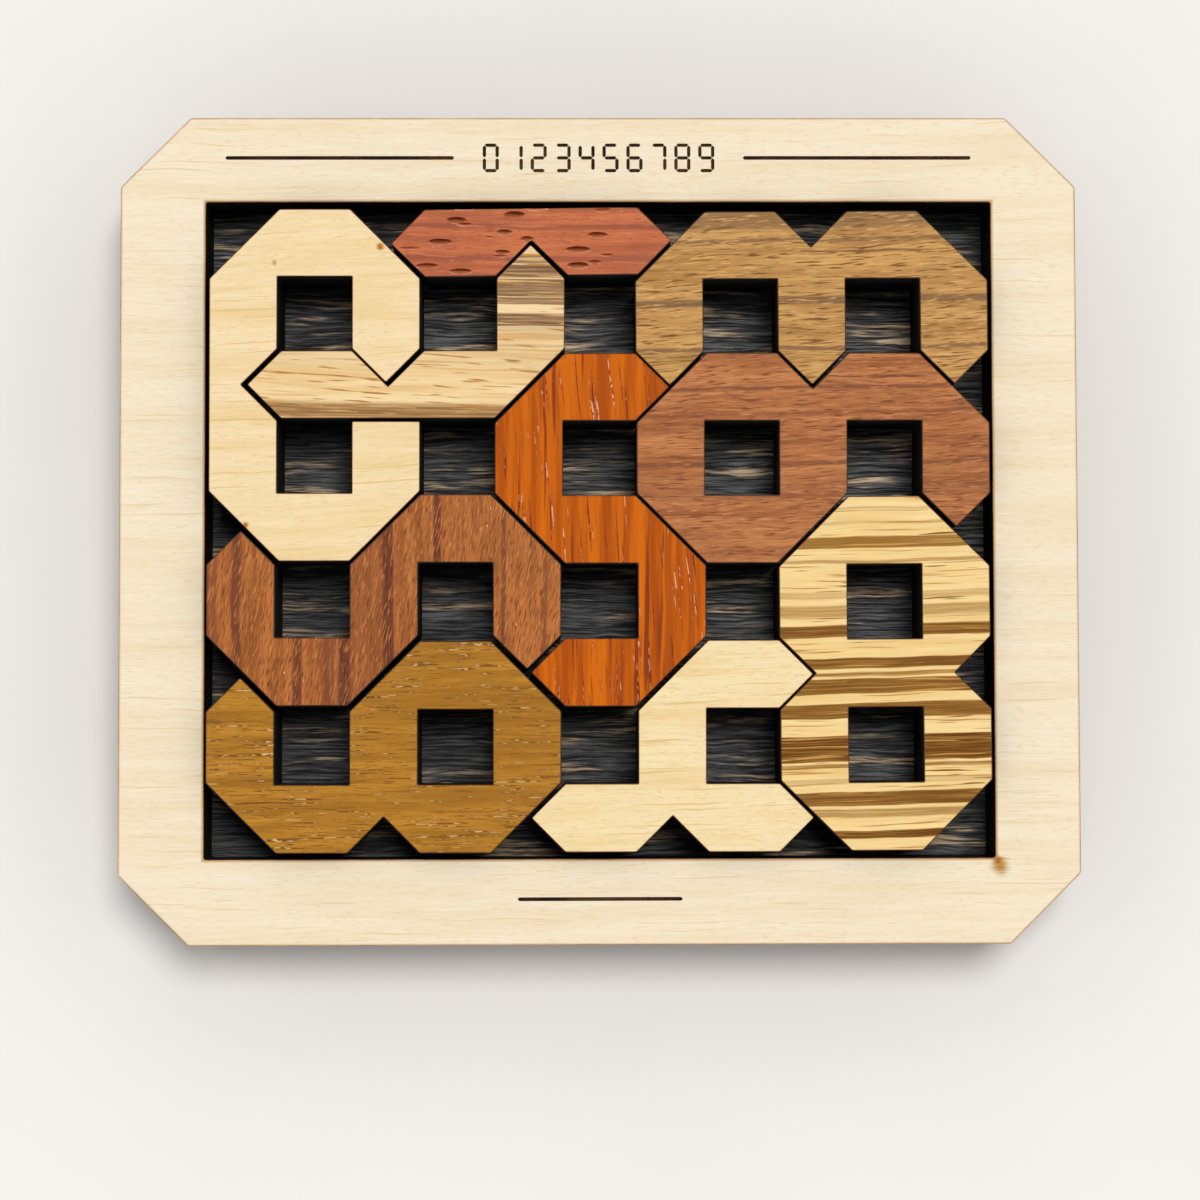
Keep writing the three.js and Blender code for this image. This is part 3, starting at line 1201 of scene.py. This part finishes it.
@dataclass
class PittedDigit(DigitPiece):
    """The red numeral, whose open grain leaves long pits in its face."""

    # The pits run in under their far side by this turn
    pit_lean: float = math.radians(42)
    # Each pit: its place from the numeral's middle, its length, its width and its depth
    pits: tuple[tuple[float, float, float, float, float], ...] = (
        (-13.7, 4.0, 3.5, 1.2, 0.9), (-12.2, 3.2, 2.8, 0.7, 0.6), (-3.1, 5.0, 3.8, 1.2, 0.9),
        (-4.9, 1.8, 2.9, 0.9, 0.7), (-7.7, 0.9, 1.6, 0.5, 0.3), (-0.8, 0.6, 2.4, 0.9, 0.7),
        (-16.6, 0.0, 4.3, 1.1, 0.9), (-22.3, -1.1, 3.6, 0.6, 0.4), (-5.3, -1.9, 2.7, 0.9, 0.7),
        (-5.7, -2.6, 2.5, 0.6, 0.5), (-19.0, -4.4, 4.0, 1.0, 0.8), (-12.9, -5.4, 4.0, 1.0, 0.8),
        (12.1, 1.3, 3.6, 1.0, 0.8), (8.5, -1.4, 4.5, 1.1, 0.9), (13.8, -2.4, 2.4, 0.6, 0.4),
        (8.5, -4.3, 3.8, 1.1, 0.9), (11.6, -3.7, 2.4, 0.8, 0.6), (-12.2, 6.1, 3.6, 0.7, 0.6),
        (1.0, 6.1, 4.0, 0.7, 0.6), (13.0, 5.9, 2.9, 0.9, 0.6),
    )
    # A pit is a leaning bowl with a shallow cleft along it: stretched balls, sized by these shares of the
    # pit's length, depth and width, and of its length, width and depth
    bowl_shares: Place = (0.54, 0.95, 0.46)
    cleft_shares: Place = (0.64, 0.5, 0.3)
    # The balls' faces, round them and from pole to pole
    bowl_faces: tuple[int, int] = (20, 12)
    cleft_faces: tuple[int, int] = (4, 8)

    def detail(self, piece: Piece) -> None:
        """Presses the pits into the top face.

        Args:
            piece: the numeral.
        """
        low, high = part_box(f"digit_{self.value}")
        middle = (low + high) / 2
        bowl, cleft = unit_ball(*self.bowl_faces), unit_ball(*self.cleft_faces)
        parts = []
        for x, y, length, width, depth in self.pits:
            place = (middle.x + x * MM, middle.y + y * MM, high.z)
            parts.append(copy_of(bowl, place, (-self.pit_lean, 0.0, 0.0)))
            parts[-1].scale = self.scaled((length, depth, width), self.bowl_shares)
            parts.append(copy_of(cleft, place, UNTURNED))
            parts[-1].scale = self.scaled((length, width, depth), self.cleft_shares)
        for model in (bowl, cleft):
            bpy.data.objects.remove(model)
        cutter = joined(parts, "pits")
        cutter.data.materials.append(PitFinish().material(high.z / MM))
        edges = scorched_points(piece)
        carve(piece, cutter)
        levels = [1.0 if rounded(vertex.co) in edges else 0.0 for vertex in piece.data.vertices]
        piece.data.attributes[SCORCH_LAYER].data.foreach_set("value", levels)
        edit(piece, Pick.EDGE, self.is_rim)
        bpy.ops.mesh.mark_sharp()
        leave_edit_mode()

    @staticmethod
    def scaled(size: Place, shares: Place) -> Place:
        """Returns the shares of a pit's size in metres."""
        return tuple(share * length * MM for share, length in zip(shares, size))

    @staticmethod
    def is_rim(edge: bmesh.types.BMEdge) -> bool:
        """Says whether an edge parts the flat face from a pit or a wall."""
        flat = [face.normal.z > FLAT_NORMAL for face in edge.link_faces]
        return any(flat) and not all(flat)


@dataclass
class TrayFrame:
    """The one-piece maple frame, with engraved rules and a row of plain numerals."""

    corner_radius: float = 0.4
    scorch_width: float = 0.5
    scorch_level: float = 0.75
    rule_width: float = 0.68
    groove_depth: float = 0.35
    upper_rule_height: float = 68.3
    upper_rule_ends: Span = (26.5, 68.5)
    lower_rule_height: float = -67.4
    lower_rule_reach: float = 15.0
    numeral_pitch: float = 2.35
    numeral_spacing: float = 4.4
    numeral_bar: float = 0.62
    numeral_gap: float = 0.16
    # How much of a stroke's width its cut ends take at each side
    end_share: float = 0.46
    # A point within these shares of the frame's half width and half height is on its opening
    opening_shares: Span = (0.9, 0.85)
    # The bars of the ten numerals, lettered clockwise from the top one, with the middle one last
    numerals: tuple[str, ...] = (
        "abcdef", "bc", "abged", "abgcd", "fgbc", "afgcd", "afgecd", "abc", "abcdefg", "abcdfg",
    )
    # Each bar's middle from the numeral's middle, in halves of the pitch, and whether it stands upright
    bar_places: dict[str, tuple[float, float, bool]] = field(
        default_factory=lambda: {
            "a": (0, 2, False), "b": (1, 1, True), "c": (1, -1, True), "d": (0, -2, False),
            "e": (-1, -1, True), "f": (-1, 1, True), "g": (0, 0, False),
        }
    )

    def build(self, wall: Material, edge: Material) -> Piece:
        """Models, engraves and dresses the frame.

        Args:
            wall: the finish of its inner walls.
            edge: the finish of its outer walls.

        Returns:
            The finished piece.
        """
        piece = copy_of_node("tray_frame", "maple_frame")
        round_upright_corners(piece, self.corner_radius)
        dress(piece, FRAME_FINISH.material(self.halo), edge, AMBER.material())
        self.char_inner_walls(piece, wall)
        carve(piece, self.engraving())
        smooth(piece)
        hand_over(piece, "tray", "tray_frame")
        return piece

    def char_inner_walls(self, piece: Piece, wall: Material) -> None:
        """Blackens the walls that look into the opening.

        Args:
            piece: the frame.
            wall: the finish of these walls.
        """
        piece.data.materials.append(wall)
        black = len(piece.data.materials) - 1
        for polygon in piece.data.polygons:
            looks_in = polygon.normal.x * polygon.center.x + polygon.normal.y * polygon.center.y < 0
            if abs(polygon.normal.z) < WALL_NORMAL and looks_in:
                polygon.material_index = black

    def halo(self, tree: ShaderTree) -> Socket:
        """Works out the scorch on the frame's face, from how near the opening and the outline are.

        Args:
            tree: the material's tree.

        Returns:
            How scorched the face is.
        """
        _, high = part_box("tray_frame")
        points = [vertex.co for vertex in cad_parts["tray_frame"].data.vertices]
        inner = self.opening(points, high)
        x, y, _ = tree.place()
        wide = tree.maths("ABSOLUTE", x)
        tall = tree.maths("ABSOLUTE", y)
        from_opening = tree.maths(
            "MAXIMUM",
            tree.maths("SUBTRACT", wide, inner.x / MM),
            tree.maths("SUBTRACT", tall, inner.y / MM),
        )
        to_side = tree.maths("SUBTRACT", high.x / MM, wide)
        to_end = tree.maths("SUBTRACT", high.y / MM, tall)
        reach = max(abs(point.x) + abs(point.y) for point in points) / MM
        to_cut = tree.maths("SUBTRACT", reach, tree.maths("ADD", wide, tall))
        to_cut = tree.maths("DIVIDE", to_cut, math.sqrt(2))
        to_outline = tree.maths("MINIMUM", to_cut, tree.maths("MINIMUM", to_side, to_end))
        nearest = tree.maths("MINIMUM", from_opening, to_outline)
        return tree.remap(nearest, self.scorch_width, 0.0, 0.0, self.scorch_level)

    def opening(self, points: list[Vector], high: Vector) -> Vector:
        """Finds the opening's far corner.

        Args:
            points: all the points of the solid.
            high: the solid's own far corner.

        Returns:
            The corner.
        """
        wide, tall = self.opening_shares
        inner = [point for point in points if abs(point.x) < wide * high.x and abs(point.y) < tall * high.y]
        return Vector((max(point.x for point in inner), max(point.y for point in inner), high.z))

    def engraving(self) -> Piece:
        """Models all the engraved strokes.

        Returns:
            Their cutter.
        """
        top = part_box("tray_frame")[1].z
        start, end = self.upper_rule_ends
        height = self.upper_rule_height * MM
        rule = self.stroke(end - start, self.rule_width)
        lower = self.stroke(2 * self.lower_rule_reach, self.rule_width)
        bar = self.stroke(self.numeral_pitch - self.numeral_gap, self.numeral_bar)
        middle = (start + end) / 2 * MM
        strokes = [copy_of(rule, (x, height, top), UNTURNED) for x in (-middle, middle)]
        strokes.append(copy_of(lower, (0.0, self.lower_rule_height * MM, top), UNTURNED))
        half = self.numeral_pitch / 2
        for place, letters in enumerate(self.numerals):
            centre = (place - (len(self.numerals) - 1) / 2) * self.numeral_spacing
            for letter in letters:
                across, up, upright = self.bar_places[letter]
                spot = ((centre + across * half) * MM, (self.upper_rule_height + up * half) * MM, top)
                strokes.append(copy_of(bar, spot, UPRIGHT if upright else UNTURNED))
        for model in (rule, lower, bar):
            bpy.data.objects.remove(model)
        cutter = joined(strokes, "engraving")
        cutter.data.materials.append(GROOVE.material())
        return cutter

    def stroke(self, length: float, width: float) -> Piece:
        """Models one stroke with pointed ends, lying across the tray.

        Args:
            length: the stroke's length in millimetres.
            width: the stroke's width in millimetres.

        Returns:
            The stroke's cutter.
        """
        bpy.ops.object.select_all(action="DESELECT")
        bpy.ops.mesh.primitive_cube_add(size=1.0)
        part = bpy.context.view_layer.objects.active
        part.scale = (length * MM, width * MM, 2 * self.groove_depth * MM)
        bpy.ops.object.transform_apply(location=False, rotation=False, scale=True)
        edit(part, Pick.EDGE, lambda edge: rise(edge) > self.groove_depth)
        bpy.ops.mesh.bevel(offset=self.end_share * width * MM, segments=1, affect="EDGES")
        leave_edit_mode()
        return part


@dataclass
class TrayFloor:
    """The dark board under the frame."""

    corner_radius: float = 0.4

    def build(self, edge: Material) -> Piece:
        """Models and dresses the board.

        Args:
            edge: the finish of its outer walls.

        Returns:
            The finished piece.
        """
        piece = copy_of_node("tray_floor", "dark_floor_board")
        round_upright_corners(piece, self.corner_radius)
        dress(piece, BoardFinish().material(), edge, edge)
        smooth(piece)
        hand_over(piece, "tray", "tray_floor")
        return piece


@dataclass
class Studio:
    """The pale floor, the soft lights and the camera."""

    focal_pixels: float = 2850.0
    image_pixels: float = 1200.0
    sensor: float = 36.0
    camera_place: Place = (-5.92, -35.64, 536.17)
    camera_turn: Place = (2.494, -0.655, -0.134)
    floor_colour: Colour = (247, 244, 238)
    floor_reach: float = 6000.0
    floor_drop: float = 0.02
    floor_roughness: float = 0.9
    floor_gloss: float = 0.1
    mottle_reach: float = 60.0
    mottle_depth: int = 2
    key_place: Place = (170.0, 335.0, 970.0)
    key_spread: float = math.radians(27)
    key_strength: float = 1.75
    sky: Colour = (250, 250, 252)
    # The sky is bright all round up to the first height and dim overhead from the second on, as sines of
    # the elevation, so that it lightens the shadows and hardly reaches the cells between the numerals
    sky_around: float = 1.65
    sky_overhead: float = 0.12
    around_height: float = 0.42
    overhead_height: float = 0.743

    def build(self) -> None:
        """Sets up the floor, the lights, the sky and the camera."""
        self.floor()
        self.sky_light()
        self.key_light()
        self.camera()
        bpy.context.scene.view_settings.view_transform = "Standard"

    def floor(self) -> None:
        """Lays the pale floor."""
        bpy.ops.object.select_all(action="DESELECT")
        place = (0.0, 0.0, -self.floor_drop * MM)
        bpy.ops.mesh.primitive_plane_add(size=self.floor_reach * MM, location=place)
        floor = bpy.context.view_layer.objects.active
        floor.name = "pale_floor"
        tree = ShaderTree("pale_paper")
        x, y, _ = tree.place()
        mottle = tree.layer(x, y, Layer(self.mottle_reach, self.mottle_reach, 0.0))
        darker = tuple(channel - self.mottle_depth for channel in self.floor_colour)
        colour = tree.blend(tree.remap(mottle, *NOISE_SPAN), paint(self.floor_colour), paint(darker))
        floor.data.materials.append(tree.coat(colour, self.floor_roughness, self.floor_gloss))

    def sky_light(self) -> None:
        """Fills the room with soft light from all round and a little from overhead."""
        world = bpy.data.worlds.new("studio")
        world.use_nodes = True
        nodes, links = world.node_tree.nodes, world.node_tree.links
        split = nodes.new("ShaderNodeSeparateXYZ")
        links.new(nodes.new("ShaderNodeTexCoord").outputs["Generated"], split.inputs[0])
        fade = nodes.new("ShaderNodeMapRange")
        fade.interpolation_type = "SMOOTHSTEP"
        links.new(split.outputs["Z"], fade.inputs["Value"])
        levels = (self.around_height, self.overhead_height, self.sky_around, self.sky_overhead)
        for name, level in zip(("From Min", "From Max", "To Min", "To Max"), levels):
            fade.inputs[name].default_value = level
        background = nodes["Background"]
        background.inputs["Color"].default_value = paint(self.sky, 1.0)
        links.new(fade.outputs["Result"], background.inputs["Strength"])
        bpy.context.scene.world = world

    def key_light(self) -> None:
        """Hangs the wide key light above the tray's far side."""
        light = bpy.data.lights.new("wide_key", "SUN")
        light.angle = self.key_spread
        light.energy = self.key_strength
        lamp = bpy.data.objects.new("wide_key", light)
        lamp.location = Vector(self.key_place) * MM
        lamp.rotation_euler = (-Vector(self.key_place)).to_track_quat("-Z", "Y").to_euler()
        bpy.context.scene.collection.objects.link(lamp)

    def camera(self) -> None:
        """Sets the camera over the tray, looking almost straight down."""
        lens = bpy.data.cameras.new("viewer")
        lens.sensor_width = self.sensor
        lens.lens = self.focal_pixels / self.image_pixels * self.sensor
        camera = bpy.data.objects.new("viewer", lens)
        camera.location = Vector(self.camera_place) * MM
        camera.rotation_euler = tuple(math.radians(turn) for turn in self.camera_turn)
        bpy.context.scene.collection.objects.link(camera)
        bpy.context.scene.camera = camera


def report(piece: Piece) -> None:
    """Logs a finished piece."""
    LOG.info("%s: %d faces", piece.name, len(piece.data.polygons))


def main() -> None:
    """Builds the studio, the tray and the ten numerals."""
    logging.basicConfig(level=logging.INFO, format="%(name)s: %(message)s")
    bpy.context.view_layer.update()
    wall, edge, arris = CHAR.material(), TOAST.material(), ARRIS.material()
    Studio().build()
    report(TrayFloor().build(SOOT.material()))
    report(TrayFrame().build(wall, edge))
    for value, finish in enumerate(DIGIT_FINISHES):
        kind = PittedDigit if value == PITTED_VALUE else DigitPiece
        report(kind(value, finish).build(wall, arris))


if __name__ == "__main__":
    main()
